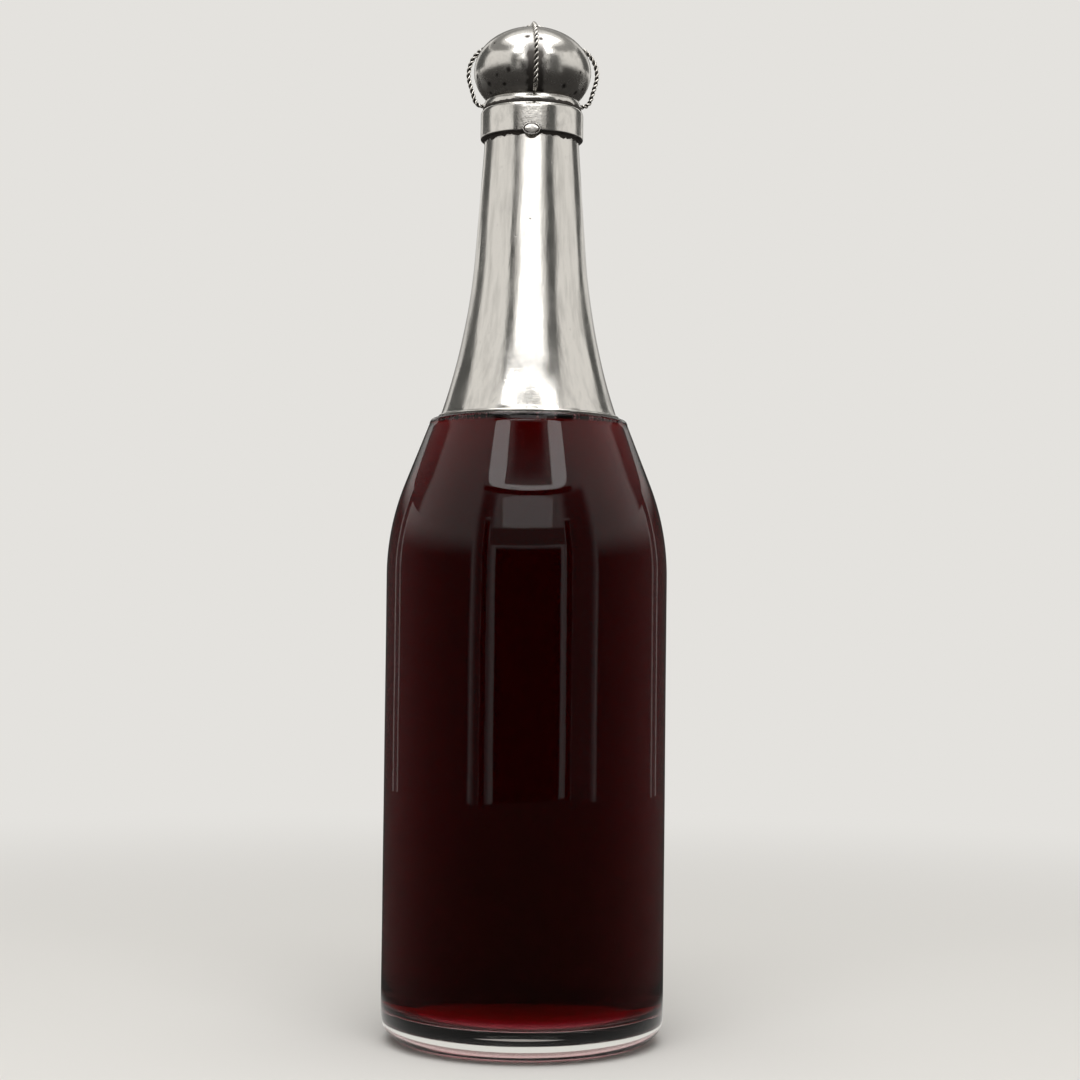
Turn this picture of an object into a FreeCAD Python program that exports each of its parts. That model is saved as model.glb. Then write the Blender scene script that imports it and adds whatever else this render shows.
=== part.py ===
import FreeCAD, Part

import math
import os

# A glass decanter shaped like a champagne bottle, filled with red wine. A long silver sleeve
# covers the neck, a silver collar covers the mouth, and the stopper is a flattened silver ball
# with three rope-twist wires over it, like the wire cage on a champagne cork.
#
# Millimetres and degrees. +Z is up, the origin is the centre of the base, and the front faces
# -Y. Every turned piece is a half outline of radius and height, spun about the Z axis.

# Glass body
body_radius = 45.0
body_wall = 3.0
base_thickness = 9.5        # clear glass under the edge of the wine
heel_radius = 8.0           # round corner between the base and the side
hollow_radius = 27.0        # shallow hollow under the base, inside the ring it stands on
hollow_depth = 1.2
floor_corner_radius = 6.0
floor_rise = 1.5            # the floor swells upward in the middle

# Glass shoulder, up to the step that the sleeve stands on
step_height = 198.0
step_ledge = 3.2            # how far the step reaches outside the sleeve
step_round = 1.8
step_lean = 14.0            # how much the glass still leans inward just below the step
shoulder_radius = 70.0      # outward curve at the top of the side
throat_radius = 56.0        # inward curve below the step
cavity_shoulder_radius = 50.0

# Silver neck sleeve, and the glass neck under it
neck_length = 98.4          # from the step up to the glass lip
neck_wall = 2.6
cement_gap = 0.1            # plaster between sleeve and glass
sleeve_foot_radius = 28.7
sleeve_top_radius = 14.55
sleeve_wall = 0.8
sleeve_bead = 0.6           # half-round bead along the foot
sleeve_taper = 4.25         # straight upper part
flare_radius = 200.0        # curve of the lower part

# Wine
wine_below_step = 2.7

# Collar over the mouth
collar_wall = 1.37          # skirt at its foot
collar_height = 9.6
collar_plate = 1.7          # flat top of the collar, over the mouth
collar_play = 0.1
collar_bevel_width = 0.8
collar_bevel_height = 1.5
collar_bevel_bow = 0.2
collar_edge_round = 0.4

# Oval catch on the front of the collar
catch_width = 5.8
catch_height = 4.2
catch_thickness = 1.0
catch_hang = 1.8            # how far it reaches below the collar
catch_edge_round = 0.45

# Stopper
plug_length = 28.0
plug_clearance = 0.15
plug_chamfer = 1.0
ring_height = 2.85
ring_taper = 0.6            # narrower at the top than at the collar by this much
ring_bow = 0.25
ring_foot_round = 0.5
ball_radius = 19.0
ball_half_height = 14.5
ball_ledge = 1.26           # width of the ring's top left bare around the ball

# Wire cage over the ball
cage_turns = (3.0, 120.0, 240.0)    # round from straight ahead; the front one strays
wire_diameter = 1.5
wire_spacing = 0.1          # between two wires where they leave the knot
wire_crown_run = 3.1        # level on the crown for this far, then sloping
wire_upper_bow = 4.2        # how far outside the ball's widest part each bend stands
wire_waist_bow = 5.8
wire_lower_bow = 2.3
wire_upper_drop = 5.83      # below the crown
wire_waist_drop = 12.5
wire_lower_lift = 1.25      # above the ring
wire_foot_gap = 0.1         # between the wire's foot and the ring
wire_foot_sink = 0.6        # runs this far into the ball before it is trimmed to the surface
wire_bend_radii = (17.0, 5.0, 12.0, 2.6)
knot_radius = 1.7
knot_height = 1.5           # above the crown of the ball


def point(radius, height):
    return FreeCAD.Vector(radius, 0, height)


def line(start, end):
    return Part.LineSegment(start, end).toShape()


def outline(points):
    return [line(start, end) for start, end in zip(points, points[1:] + points[:1])]


def on_circle(centre, radius, angle):
    turn = math.radians(angle)
    return point(centre.x + radius * math.cos(turn), centre.z + radius * math.sin(turn))


def arc(centre, radius, start_angle, end_angle):
    ends_and_middle = (start_angle, (start_angle + end_angle) / 2, end_angle)
    return Part.Arc(*[on_circle(centre, radius, angle) for angle in ends_and_middle]).toShape()


def bowed(low, high, bow):
    """An arc that runs upward and stands a little outside its chord."""
    chord = high - low
    outward = point(chord.z, -chord.x).normalize()
    return Part.Arc(low, (low + high) / 2 + outward * bow, high).toShape()


def dome(radius, rim_height, rise):
    """Half of a shallow dome, from its middle out to its rim."""
    sphere = (radius ** 2 + rise ** 2) / (2 * rise)
    half_way = rise - sphere + math.sqrt(sphere ** 2 - radius ** 2 / 4)
    return Part.Arc(point(0, rim_height + rise), point(radius / 2, rim_height + half_way),
                    point(radius, rim_height)).toShape()


def spin(edges):
    face = Part.Face(Part.Wire(edges))
    return face.revolve(FreeCAD.Vector(0, 0, 0), FreeCAD.Vector(0, 0, 1), 360)


# The neck: a straight taper that runs into one long flare. The sleeve's two faces, the glass
# under it and the bore are all this outline, moved inward by an inset.

mouth_height = step_height + neck_length
glass_inset = sleeve_wall + cement_gap
bore_inset = glass_inset + neck_wall


def find_flare():
    """Middle of the circle that passes through the sleeve's foot and meets the taper."""
    taper = math.radians(sleeve_taper)
    spread = sleeve_foot_radius - sleeve_top_radius - neck_length * math.tan(taper)
    foot_lean = taper + math.acos(1 - spread * math.cos(taper) / flare_radius)
    return point(sleeve_foot_radius + flare_radius * math.cos(foot_lean),
                 step_height + flare_radius * math.sin(foot_lean))


flare = find_flare()


def flare_end(inset):
    return on_circle(flare, flare_radius + inset, 180 + sleeve_taper)


def neck_radius(height, inset):
    end = flare_end(inset)
    if height >= end.z:
        return end.x - (height - end.z) * math.tan(math.radians(sleeve_taper))
    return flare.x - math.sqrt((flare_radius + inset) ** 2 - (height - flare.z) ** 2)


def neck_point(height, inset):
    return point(neck_radius(height, inset), height)


def flare_arc(low_angle, high, inset):
    """The flare from an angle near its foot up to a height, and the taper if it gets there."""
    if high < flare_end(inset).z:
        rise = (flare.z - high) / (flare_radius + inset)
        return [arc(flare, flare_radius + inset, low_angle, 180 + math.degrees(math.asin(rise)))]
    return [arc(flare, flare_radius + inset, low_angle, 180 + sleeve_taper),
            line(flare_end(inset), neck_point(high, inset))]


def neck_edges(low, high, inset):
    rise = (flare.z - low) / (flare_radius + inset)
    return flare_arc(180 + math.degrees(math.asin(rise)), high, inset)


def find_shoulder(side_radius, curve_radius, throat, throat_curve):
    """Middle of the circle that leaves the side upright and meets the throat's circle,
    and the angle, seen from it, at which they meet."""
    reach = curve_radius + throat_curve
    across = throat.x - (side_radius - curve_radius)
    rise = math.sqrt(reach ** 2 - across ** 2)
    middle = point(side_radius - curve_radius, throat.z - rise)
    return middle, math.degrees(math.atan2(rise, across))


def cavity_edges(top):
    """The inside of the bottle, from the middle of the floor up to a height in the neck."""
    cavity_radius = body_radius - body_wall
    middle, meet = find_shoulder(cavity_radius, cavity_shoulder_radius,
                                 flare, flare_radius + bore_inset)
    corner = point(cavity_radius - floor_corner_radius, base_thickness + floor_corner_radius)
    return [dome(corner.x, base_thickness, floor_rise),
            arc(corner, floor_corner_radius, -90, 0),
            line(point(cavity_radius, corner.z), point(cavity_radius, middle.z)),
            arc(middle, cavity_shoulder_radius, 0, meet)] + flare_arc(180 + meet, top, bore_inset)


def make_bottle_glass():
    """One blown and polished piece: thick base, side, shoulder with its step, and neck."""
    heel = point(body_radius - heel_radius, heel_radius)
    step_corner = point(sleeve_foot_radius + step_ledge - step_round, step_height - step_round)
    throat = on_circle(point(step_corner.x + step_round, step_corner.z),
                       throat_radius, step_lean)
    middle, meet = find_shoulder(body_radius, shoulder_radius, throat, throat_radius)
    outside = [dome(hollow_radius, 0, hollow_depth),
               line(point(hollow_radius, 0), point(heel.x, 0)),
               arc(heel, heel_radius, -90, 0),
               line(point(body_radius, heel.z), point(body_radius, middle.z)),
               arc(middle, shoulder_radius, 0, meet),
               arc(throat, throat_radius, 180 + meet, 180 + step_lean),
               arc(step_corner, step_round, 0, 90),
               line(point(step_corner.x, step_height), neck_point(step_height, glass_inset))]
    neck = neck_edges(step_height, mouth_height, glass_inset)
    lip = line(neck_point(mouth_height, glass_inset), neck_point(mouth_height, bore_inset))
    inside = cavity_edges(mouth_height)
    axis = line(point(0, base_thickness + floor_rise), point(0, hollow_depth))
    return spin(outside + neck + [lip] + inside[::-1] + [axis])


def make_wine():
    level = step_height - wine_below_step
    surface = line(neck_point(level, bore_inset), point(0, level))
    axis = line(point(0, level), point(0, base_thickness + floor_rise))
    return spin(cavity_edges(level) + [surface, axis])


def make_neck_sleeve():
    """Sheet silver, raised to the neck's shape, standing on the step of the glass."""
    bead_top = step_height + 2 * sleeve_bead
    bead = bowed(neck_point(step_height, 0), neck_point(bead_top, 0), sleeve_bead)
    outside = [bead] + neck_edges(bead_top, mouth_height, 0)
    inside = neck_edges(step_height, mouth_height, sleeve_wall)
    top = line(neck_point(mouth_height, 0), neck_point(mouth_height, sleeve_wall))
    foot = line(neck_point(step_height, sleeve_wall), neck_point(step_height, 0))
    return spin(outside + [top] + inside[::-1] + [foot])


# The collar and the stopper, stacked on the mouth

collar_under = mouth_height + collar_play
collar_top = collar_under + collar_plate
collar_foot = collar_top - collar_height
collar_radius = neck_radius(collar_foot, -collar_play) + collar_wall
ring_foot_radius = collar_radius - collar_bevel_width
ring_top_radius = ring_foot_radius - ring_taper
ring_top = collar_top + ring_height
ball_seat = ball_half_height * math.sqrt(1 - ((ring_top_radius - ball_ledge) / ball_radius) ** 2)
ball_middle = ring_top + ball_seat
crown = ball_middle + ball_half_height


def make_collar():
    """A cap ring: its skirt slips over the sleeve's top, its plate covers the glass lip."""
    mouth_radius = neck_radius(mouth_height, bore_inset)
    skirt_foot = neck_point(collar_foot, -collar_play)
    edge = point(collar_radius - collar_edge_round, collar_foot + collar_edge_round)
    side_top = point(collar_radius, collar_top - collar_bevel_height)
    rim = point(ring_foot_radius, collar_top)
    inside = [rim, point(mouth_radius, collar_top), point(mouth_radius, collar_under),
              neck_point(collar_under, -collar_play), skirt_foot,
              point(edge.x, collar_foot)]
    return spin([line(start, end) for start, end in zip(inside, inside[1:])]
                + [arc(edge, collar_edge_round, -90, 0),
                   line(point(collar_radius, edge.z), side_top),
                   bowed(side_top, rim, collar_bevel_bow)])


def make_collar_catch():
    """An oval tab on the front of the collar, hanging a little below its edge."""
    middle = FreeCAD.Vector(0, -collar_radius - catch_thickness,
                            collar_foot - catch_hang + catch_height / 2)
    oval = Part.Ellipse(middle + FreeCAD.Vector(catch_width / 2, 0, 0),
                        middle + FreeCAD.Vector(0, 0, catch_height / 2), middle)
    tab = Part.Face(Part.Wire([oval.toShape()])).extrude(FreeCAD.Vector(0, 2 * catch_thickness, 0))
    front = min(tab.Faces, key=lambda face: face.CenterOfMass.y)
    tab = tab.makeFillet(catch_edge_round, front.Edges)
    drum = Part.makeCylinder(collar_radius, collar_height + catch_height,
                             point(0, collar_foot - catch_height))
    return tab.cut(drum)


def make_stopper_plug():
    """A cork that seats in the mouth of the neck."""
    plug_radius = neck_radius(mouth_height, bore_inset) - plug_clearance
    low = collar_top - plug_length
    return spin(outline([point(0, low), point(plug_radius - plug_chamfer, low),
                         point(plug_radius, low + plug_chamfer),
                         point(plug_radius, collar_top), point(0, collar_top)]))


def make_stopper_ring():
    """The band under the ball, resting on the collar."""
    corner = point(ring_foot_radius - ring_foot_round, collar_top + ring_foot_round)
    side_foot = point(ring_foot_radius, corner.z)
    side_top = point(ring_top_radius, ring_top)
    return spin([line(point(0, collar_top), point(corner.x, collar_top)),
                 arc(corner, ring_foot_round, -90, 0),
                 bowed(side_foot, side_top, ring_bow),
                 line(side_top, point(0, ring_top)),
                 line(point(0, ring_top), point(0, collar_top))])


def make_stopper_ball():
    """The flattened ball, cut flat where it is soldered to the ring."""
    flatten = FreeCAD.Matrix()
    flatten.scale(1, 1, ball_half_height / ball_radius)
    ball = Part.makeSphere(ball_radius).transformGeometry(flatten)
    ball.translate(point(0, ball_middle))
    below_ring_top = Part.makeCylinder(ball_radius, 2 * ball_half_height,
                                       point(0, ring_top - 2 * ball_half_height))
    return ball.cut(below_ring_top)


def make_crown_knot(ball):
    """The bead on the crown where the wires are joined."""
    return Part.makeSphere(knot_radius, point(0, crown + knot_height - knot_radius)).cut(ball)


def rounded_path(points, radii):
    """Straight runs joined by tangent arcs, one radius for each inner point."""
    edges = []
    start = points[0]
    for before, corner, after, radius in zip(points, points[1:], points[2:], radii):
        inward = (before - corner).normalize()
        outward = (after - corner).normalize()
        half_angle = inward.getAngle(outward) / 2
        entry = corner + inward * (radius / math.tan(half_angle))
        leave = corner + outward * (radius / math.tan(half_angle))
        bisector = (inward + outward).normalize()
        middle = corner + bisector * (radius / math.sin(half_angle) - radius)
        edges.append(line(start, entry))
        edges.append(Part.Arc(entry, middle, leave).toShape())
        start = leave
    edges.append(line(start, points[-1]))
    return Part.Wire(edges)


def make_cage_wire(ball, knot):
    """One wire of the cage in the XZ plane: over the crown, out past the ball's widest part,
    and back in to the ball just above the ring."""
    wire_radius = wire_diameter / 2
    start = point(wire_radius / math.sin(math.pi / len(cage_turns)) + wire_spacing,
                  crown + wire_radius)
    foot_height = ring_top + wire_foot_gap + wire_radius
    foot_radius = ball_radius * math.sqrt(1 - ((ball_middle - foot_height) / ball_half_height) ** 2)
    path = rounded_path([start,
                         start + point(wire_crown_run, 0),
                         point(ball_radius + wire_upper_bow, crown - wire_upper_drop),
                         point(ball_radius + wire_waist_bow, crown - wire_waist_drop),
                         point(ball_radius + wire_lower_bow, ring_top + wire_lower_lift),
                         point(foot_radius - wire_foot_sink, foot_height)],
                        wire_bend_radii)
    section = Part.Wire([Part.Circle(start, FreeCAD.Vector(1, 0, 0), wire_radius).toShape()])
    return path.makePipeShell([section], True, True).cut(ball).cut(knot)


def main():
    ball = make_stopper_ball()
    knot = make_crown_knot(ball)
    wire = make_cage_wire(ball, knot)
    nodes = {
        "bottle_glass": make_bottle_glass(),
        "wine": make_wine(),
        "neck_sleeve": make_neck_sleeve(),
        "collar": make_collar(),
        "collar_catch": make_collar_catch(),
        "stopper_plug": make_stopper_plug(),
        "stopper_ring": make_stopper_ring(),
        "stopper_ball": ball,
        "crown_knot": knot,
    }
    for number, turn in enumerate(cage_turns, start=1):
        nodes[f"cage_wire_{number}"] = wire.rotated(point(0, 0), point(0, 1), turn - 90)

    os.makedirs("parts", exist_ok=True)
    for name, shape in nodes.items():
        shape.exportStep(f"parts/{name}.step")
        print(f"{name}: {len(shape.Solids)} solid, valid {shape.isValid()}, "
              f"{shape.Volume / 1000:.3f} cm3, centre {shape.CenterOfGravity}")


main()
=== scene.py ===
import math
import random

import bpy
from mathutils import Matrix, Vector


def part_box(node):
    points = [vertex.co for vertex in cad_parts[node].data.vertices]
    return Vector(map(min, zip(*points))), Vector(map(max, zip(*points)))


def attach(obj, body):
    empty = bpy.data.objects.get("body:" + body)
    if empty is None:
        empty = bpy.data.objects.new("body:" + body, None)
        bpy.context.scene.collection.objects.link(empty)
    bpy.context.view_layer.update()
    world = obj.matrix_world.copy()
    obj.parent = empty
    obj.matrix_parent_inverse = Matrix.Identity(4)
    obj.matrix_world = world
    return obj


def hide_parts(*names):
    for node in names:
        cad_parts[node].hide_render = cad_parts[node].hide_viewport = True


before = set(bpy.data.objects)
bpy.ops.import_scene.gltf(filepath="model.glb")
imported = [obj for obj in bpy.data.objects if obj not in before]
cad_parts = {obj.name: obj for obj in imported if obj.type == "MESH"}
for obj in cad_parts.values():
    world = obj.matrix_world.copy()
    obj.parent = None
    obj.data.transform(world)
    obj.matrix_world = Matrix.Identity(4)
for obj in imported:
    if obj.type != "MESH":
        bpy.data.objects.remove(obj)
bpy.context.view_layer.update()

# A glass decanter in the shape of a champagne bottle, filled with red wine, with a silver neck
# sleeve, a silver collar, and a flattened silver ball for a stopper. Sizes are in millimetres
# and turns in degrees, +Z is up and the front faces -Y.


# --------------------------------- glass bottle
# Blown lead crystal, the body ground and polished: a thick clear base, a straight side, and a
# soft shoulder that ends in a polished step. The neck goes on up inside the silver, unseen.

mm = 0.001

body_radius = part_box("bottle_glass")[1].x / mm
mouth_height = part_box("bottle_glass")[1].z / mm
step_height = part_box("neck_sleeve")[0].z / mm
wine_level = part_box("wine")[1].z / mm
body_wall = 3.0
base_thickness = 9.5
heel_radius = 8.0
hollow_radius = 27.0
hollow_depth = 1.2
floor_corner_radius = 6.0
floor_rise = 1.5
step_radius = 31.9
step_round = 1.8
shoulder_lean = 21.5            # the shoulder's straight upper part
shoulder_radius = 80.0
cavity_shoulder_radius = 50.0
sleeve_foot_radius = 28.7
sleeve_top_radius = 14.55
sleeve_taper = 4.25
flare_radius = 200.0
glass_inset = 0.9               # sleeve and plaster
bore_inset = 3.5
polish_waves = 28.0             # the faint unevenness that polishing by hand leaves
polish_depth = 0.09
ripple_width = 50 / 3           # finer waves, felt more than seen
glass_sides = 240
crease = math.radians(35)       # edges sharper than this stay hard


def linear(colour):
    """An sRGB hex colour as the linear RGBA that Blender takes."""
    values = [int(colour[place:place + 2], 16) / 255 for place in (0, 2, 4)]
    lit = [v / 12.92 if v <= 0.04045 else ((v + 0.055) / 1.055) ** 2.4 for v in values]
    return (*lit, 1.0)


def arc(centre, radius, start, end, steps=12):
    """Points along an arc, as pairs of radius and height."""
    turns = [math.radians(start + (end - start) * step / steps) for step in range(steps + 1)]
    return [(centre[0] + radius * math.cos(turn), centre[1] + radius * math.sin(turn))
            for turn in turns]


def straight(start, end, steps):
    """Points along a straight line, both ends included."""
    return [(start[0] + (end[0] - start[0]) * step / steps,
             start[1] + (end[1] - start[1]) * step / steps) for step in range(steps + 1)]


def dome(radius, rim, rise, steps=8):
    """A shallow dome from its middle out to its rim."""
    sphere = (radius ** 2 + rise ** 2) / (2 * rise)
    places = [radius * step / steps for step in range(steps + 1)]
    return [(place, rim + rise - sphere + math.sqrt(sphere ** 2 - place ** 2))
            for place in places]


taper = math.radians(sleeve_taper)
neck_length = mouth_height - step_height
spread = sleeve_foot_radius - sleeve_top_radius - neck_length * math.tan(taper)
foot_lean = taper + math.acos(1 - spread * math.cos(taper) / flare_radius)
flare = (sleeve_foot_radius + flare_radius * math.cos(foot_lean),
         step_height + flare_radius * math.sin(foot_lean))


def neck_radius(height, inset=0.0):
    """The sleeve's outside: one long flare that runs into a straight taper. The glass under it
    and the bore are the same line moved inward."""
    reach = flare_radius + inset
    end_radius = flare[0] - reach * math.cos(taper)
    end_height = flare[1] - reach * math.sin(taper)
    if height >= end_height:
        return end_radius - (height - end_height) * math.tan(taper)
    return flare[0] - math.sqrt(reach ** 2 - (height - flare[1]) ** 2)


def neck(low, high, inset=0.0, steps=24):
    """Points up the neck's line from one height to another."""
    heights = [low + (high - low) * step / steps for step in range(steps + 1)]
    return [(neck_radius(height, inset), height) for height in heights]


def cavity(bite=0.0):
    """The inside of the bottle up to the wine's level, moved into the glass by a bite. Its
    shoulder is a round that leaves the side upright and meets the bore's flare smoothly."""
    side = body_radius - body_wall
    corner = (side - floor_corner_radius, base_thickness + floor_corner_radius)
    across = flare[0] - (side - cavity_shoulder_radius)
    rise = math.sqrt((cavity_shoulder_radius + flare_radius + bore_inset) ** 2 - across ** 2)
    middle = (side - cavity_shoulder_radius, flare[1] - rise)
    meet = math.atan2(rise, across)
    low_neck = flare[1] - (flare_radius + bore_inset - bite) * math.sin(meet)
    return (dome(corner[0], base_thickness - bite, floor_rise)
            + arc(corner, floor_corner_radius + bite, -90, 0)[1:]
            + straight((side + bite, corner[1]), (side + bite, middle[1]), 26)[1:]
            + arc(middle, cavity_shoulder_radius + bite, 0, math.degrees(meet), 20)[1:]
            + neck(low_neck, wine_level, bore_inset - bite, 8)[1:])


def first_point(name, place):
    """A new piece of a single point, in edit mode, to be drawn out into an outline."""
    bpy.ops.object.select_all(action="DESELECT")
    bpy.ops.mesh.primitive_plane_add(size=mm)
    piece = bpy.context.object
    piece.name = name
    bpy.ops.object.mode_set(mode="EDIT")
    bpy.ops.mesh.select_mode(type="VERT")
    bpy.ops.mesh.select_all(action="SELECT")
    bpy.ops.mesh.merge(type="CENTER")
    bpy.ops.transform.translate(value=place)
    return piece


def turned(name, outline, sides):
    """Turn a half outline about the Z axis. It starts and ends on the axis, or is a loop."""
    piece = first_point(name, (outline[0][0] * mm, 0, outline[0][1] * mm))
    for start, end in zip(outline, outline[1:]):
        step = ((end[0] - start[0]) * mm, 0, (end[1] - start[1]) * mm)
        bpy.ops.mesh.extrude_vertices_move(TRANSFORM_OT_translate={"value": step})
    bpy.ops.mesh.select_all(action="SELECT")
    bpy.ops.mesh.spin(steps=sides, angle=math.tau, center=(0, 0, 0), axis=(0, 0, 1))
    bpy.ops.mesh.select_all(action="SELECT")
    bpy.ops.mesh.remove_doubles(threshold=0.001 * mm)
    bpy.ops.mesh.normals_make_consistent(inside=False)
    bpy.ops.object.mode_set(mode="OBJECT")
    if sum(face.center.dot(face.normal) * face.area for face in piece.data.polygons) < 0:
        bpy.ops.object.mode_set(mode="EDIT")
        bpy.ops.mesh.flip_normals()
        bpy.ops.object.mode_set(mode="OBJECT")
    bpy.ops.object.shade_smooth_by_angle(angle=crease)
    return piece


def uneven(piece, size, depth, direction="NORMAL", group=""):
    """Raise and sink a surface by a soft noise of a given size and depth, as hand work leaves."""
    noise = bpy.data.textures.new(piece.name + " unevenness", "CLOUDS")
    noise.noise_scale = size * mm
    noise.noise_depth = 1
    waves = piece.modifiers.new("unevenness", "DISPLACE")
    waves.texture = noise
    waves.texture_coords = "LOCAL"
    waves.strength = depth * mm
    waves.mid_level = 0.5
    waves.direction = direction
    waves.vertex_group = group
    bpy.context.view_layer.objects.active = piece
    bpy.ops.object.modifier_apply(modifier=waves.name)


def new_material(name):
    """A material with no nodes yet."""
    material = bpy.data.materials.new(name)
    material.use_nodes = True
    material.node_tree.nodes.clear()
    return material


def add(material, kind, inputs=None, **settings):
    """Add one node with its settings. Each input is a number, a colour, another's output, or
    another node, which stands for its first output."""
    node = material.node_tree.nodes.new("ShaderNode" + kind)
    for name, value in settings.items():
        setattr(node, name, value)
    for socket, value in (inputs or {}).items():
        if isinstance(value, bpy.types.Node):
            value = value.outputs[0]
        if isinstance(value, bpy.types.NodeSocket):
            material.node_tree.links.new(value, node.inputs[socket])
        else:
            node.inputs[socket].default_value = value
    return node


def crystal(name, sheen, roughness=0.0):
    """Polished lead crystal, clear with a trace of warm grey. Where it touches wine the two
    bend light almost alike, so that face has no sheen. A ground face is rough and scatters."""
    material = new_material(name)
    place = add(material, "TexCoord").outputs["Object"]
    ripple = add(material, "TexNoise",
                 {"Vector": place, "Scale": 1 / (ripple_width * mm), "Detail": 1.0})
    bump = add(material, "Bump", {"Height": ripple, "Strength": 0.05, "Distance": 0.5 * mm})
    surface = add(material, "BsdfPrincipled",
                  {"Base Color": linear("F3F3EF"), "Roughness": roughness, "IOR": 1.52,
                   "Transmission Weight": 1.0, "Specular Tint": linear(sheen), "Normal": bump})
    add(material, "OutputMaterial", {"Surface": surface})
    return material


heel = (body_radius - heel_radius, heel_radius)
step_corner = (step_radius - step_round, step_height - step_round)
lean = math.radians(shoulder_lean)
bend_radius = body_radius - shoulder_radius * (1 - math.cos(lean))
bend_height = step_corner[1] - (bend_radius - step_radius) / math.tan(lean)
side_top = (body_radius - shoulder_radius, bend_height - shoulder_radius * math.sin(lean))
bottle_outline = (dome(hollow_radius, 0, hollow_depth)
                  + arc(heel, heel_radius, -90, 0)
                  + straight((body_radius, heel[1]), (body_radius, side_top[1]), 26)[1:]
                  + arc(side_top, shoulder_radius, 0, shoulder_lean, 20)[1:]
                  + straight((bend_radius, bend_height), (step_radius, step_corner[1]), 10)[1:]
                  + arc(step_corner, step_round, 0, 90)[1:]
                  + neck(step_height, mouth_height, glass_inset)
                  + neck(wine_level, mouth_height, bore_inset)[::-1]
                  + cavity()[::-1][1:])

bottle = turned("glass_bottle", bottle_outline, glass_sides)
uneven(bottle, polish_waves, polish_depth)
bottle.data.materials.append(crystal("polished lead crystal", "C8C8C8"))
bottle.data.materials.append(crystal("lead crystal against wine", "000000"))
bottle.data.materials.append(crystal("ground lead crystal", "C8C8C8", 0.4))
# The cavity's wall touches the wine up to its level, and the hollow under the base is ground.
for face in bottle.data.polygons:
    outward = Vector((face.center.x, face.center.y, 0)).normalized().dot(face.normal)
    if outward < 0.5 and base_thickness - 1 < face.center.z / mm < wine_level:
        face.material_index = 1
    elif face.center.xy.length / mm < hollow_radius and face.normal.z < -0.9:
        face.material_index = 2

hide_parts("bottle_glass")
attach(bottle, "root")


# ----------------------------------------- wine
# Young red wine, poured up to just under the step. It reaches a hair into the glass, so that
# no air shows between them, and climbs the wall a little at its edge, as every liquid does.

wine_bite = 0.2
meniscus_rise = 1.3
meniscus_reach = 1.6
meniscus_steps = 10


def meniscus():
    """The wine's surface from its climbing edge in to the middle."""
    wall = neck_radius(wine_level, bore_inset)
    gaps = [5 * meniscus_reach * (step / meniscus_steps) ** 2 for step in range(meniscus_steps + 1)]
    curve = [(wall - gap, wine_level + meniscus_rise * math.exp(-gap / meniscus_reach))
             for gap in gaps]
    edge = wine_level + meniscus_rise
    return neck(wine_level, edge, bore_inset - wine_bite, 3)[1:] + curve + [(0, wine_level)]


def red_wine():
    """Red wine: pink in a film a millimetre deep, ruby at ten and almost black across the
    bottle, so its colour is in its depth, with only a blush on its face."""
    material = new_material("red wine")
    surface = add(material, "BsdfPrincipled",
                  {"Base Color": linear("E7B4BA"), "Roughness": 0.0, "IOR": 1.34,
                   "Transmission Weight": 1.0, "Specular Tint": linear("000000")})
    depth = add(material, "VolumeAbsorption", {"Color": linear("EB007C"), "Density": 300.0})
    add(material, "OutputMaterial", {"Surface": surface, "Volume": depth})
    return material


wine = turned("red_wine_fill", cavity(wine_bite) + meniscus(), glass_sides)
wine.data.materials.append(red_wine())
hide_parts("wine")
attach(wine, "root")


# --------------------------------- wine bubbles
# Tiny bubbles left from pouring, caught against the glass at the wine's edge. Most have
# gathered in two drifts, left and right of the front, and a few lie between.

# The middle turn of each drift, how far it spreads and how many bubbles it has.
bubble_drifts = ((-52, 13, 24), (52, 15, 30), (150, 40, 14), (-140, 30, 12), (0, 60, 9))
bubble_sizes = (0.15, 0.45)     # radius
bubble_order = random.Random(7)

bpy.ops.object.select_all(action="DESELECT")
bubbles = []
for middle, drift, count in bubble_drifts:
    for _ in range(count):
        size = bubble_order.uniform(*bubble_sizes)
        turn = math.radians(bubble_order.gauss(middle, drift) - 90)
        gap = 0.8 * size + abs(bubble_order.gauss(0, 0.4))
        reach = neck_radius(wine_level, bore_inset) - gap
        height = wine_level + meniscus_rise * math.exp(-gap / meniscus_reach) - 1.1 * size
        bpy.ops.mesh.primitive_ico_sphere_add(
            subdivisions=2, radius=size * mm,
            location=(reach * math.cos(turn) * mm, reach * math.sin(turn) * mm, height * mm))
        bubbles.append(bpy.context.object)
for bubble in bubbles:
    bubble.select_set(True)
bpy.ops.object.join()
foam = bpy.context.object
foam.name = "wine_edge_bubbles"
bpy.ops.object.transform_apply(location=True, rotation=True, scale=True)
bpy.ops.object.shade_smooth()


def froth():
    """A skin of wine round air: pale pink, and cloudier than the wine, so that it shows."""
    material = new_material("wine froth")
    surface = add(material, "BsdfPrincipled",
                  {"Base Color": linear("E8A9AE"), "Roughness": 0.15, "IOR": 1.34,
                   "Transmission Weight": 0.35})
    add(material, "OutputMaterial", {"Surface": surface})
    return material


foam.data.materials.append(froth())
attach(foam, "root")


# ---------------------------------- neck sleeve
# Sheet silver raised by hammer over a stake to the neck's long flare, planished and polished,
# with a half-round bead at its foot. It is set on the glass in plaster and never comes off.

sleeve_wall = 0.8
bead_height = 1.2
bead_swell = 0.6
hammer_waves = 9.0              # across the neck, and longer by the stretch along it
hammer_depth = 0.24
hammer_stretch = 4.0
lip_flare = 0.1                 # the top turns out a little, up to the collar
lip_height = 7.0
wire_grime_and_shade_top = 313.0              # grime and a painted shade stay beside the cage's wires up to here


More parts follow.
